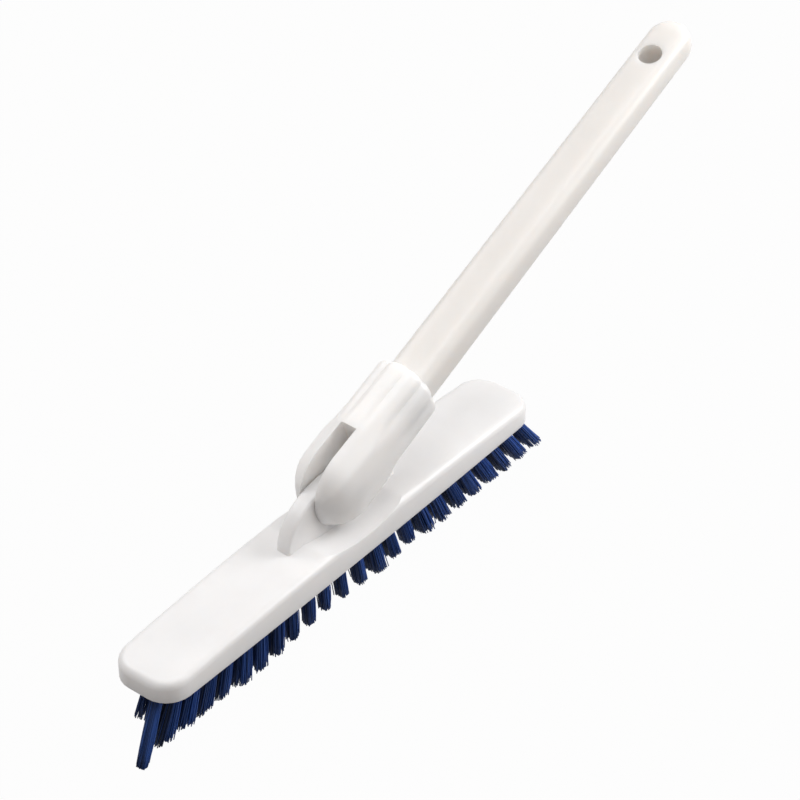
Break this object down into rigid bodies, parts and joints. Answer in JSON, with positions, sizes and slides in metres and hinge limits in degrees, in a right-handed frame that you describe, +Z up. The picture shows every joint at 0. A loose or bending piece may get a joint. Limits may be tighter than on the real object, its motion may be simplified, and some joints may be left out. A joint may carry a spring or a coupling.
{
  "type": "grout_brush",
  "caption": "Long narrow grout brush head of pale plastic with stiff blue bristle tufts, a tilting fluted yoke on a cross pin, and a straight rounded handle with a hanging hole",
  "frame": {"origin": "The middle of the whole object's bounding box in plan, at the level of the bristle tips on the floor", "axes": "+X runs along the block towards the end that the handle leans over, +Y to the side away from the front row of tufts, +Z up from the floor"},
  "size_m": [0.4376, 0.0408, 0.1846],
  "materials": {
    "head_plastic": "satin moulded",
    "yoke_plastic": "satin moulded",
    "handle_plastic": "satin moulded",
    "blue_bristle": "stiff drawn filament, trimmed flat",
    "pin_steel": "bare round pin"
  },
  "bodies": {
    "head": {"brush_block": "head_plastic", "back_tuft_02": "blue_bristle", "back_tuft_03": "blue_bristle", "back_tuft_04": "blue_bristle", "back_tuft_05": "blue_bristle", "back_tuft_06": "blue_bristle", "back_tuft_07": "blue_bristle", "back_tuft_08": "blue_bristle", "back_tuft_09": "blue_bristle", "back_tuft_10": "blue_bristle", "back_tuft_11": "blue_bristle", "back_tuft_12": "blue_bristle", "back_tuft_13": "blue_bristle", "back_tuft_14": "blue_bristle", "back_tuft_15": "blue_bristle", "back_tuft_16": "blue_bristle", "back_tuft_17": "blue_bristle", "back_tuft_18": "blue_bristle", "back_tuft_19": "blue_bristle", "back_tuft_20": "blue_bristle", "back_tuft_21": "blue_bristle", "back_tuft_22": "blue_bristle", "back_tuft_23": "blue_bristle", "front_tuft_01": "blue_bristle", "front_tuft_02": "blue_bristle", "front_tuft_03": "blue_bristle", "front_tuft_04": "blue_bristle", "front_tuft_05": "blue_bristle", "front_tuft_06": "blue_bristle", "front_tuft_07": "blue_bristle", "front_tuft_08": "blue_bristle", "front_tuft_09": "blue_bristle", "front_tuft_10": "blue_bristle", "front_tuft_11": "blue_bristle", "front_tuft_12": "blue_bristle", "front_tuft_13": "blue_bristle", "front_tuft_14": "blue_bristle", "front_tuft_15": "blue_bristle", "front_tuft_16": "blue_bristle", "front_tuft_17": "blue_bristle", "front_tuft_18": "blue_bristle", "front_tuft_19": "blue_bristle", "front_tuft_20": "blue_bristle", "front_tuft_21": "blue_bristle", "front_tuft_22": "blue_bristle", "front_tuft_23": "blue_bristle", "front_tuft_24": "blue_bristle"},
    "handle_arm": {"yoke_socket": "yoke_plastic", "handle": "handle_plastic", "pivot_pin": "pin_steel"}
  },
  "joints": [
    {"name": "yoke_tilt", "type": "hinge", "parent": "head", "child": "handle_arm", "pos_m": [-0.0639, 0, 0.06], "axis": [0, 1, 0], "range_deg": [-105, 11]}
  ]
}
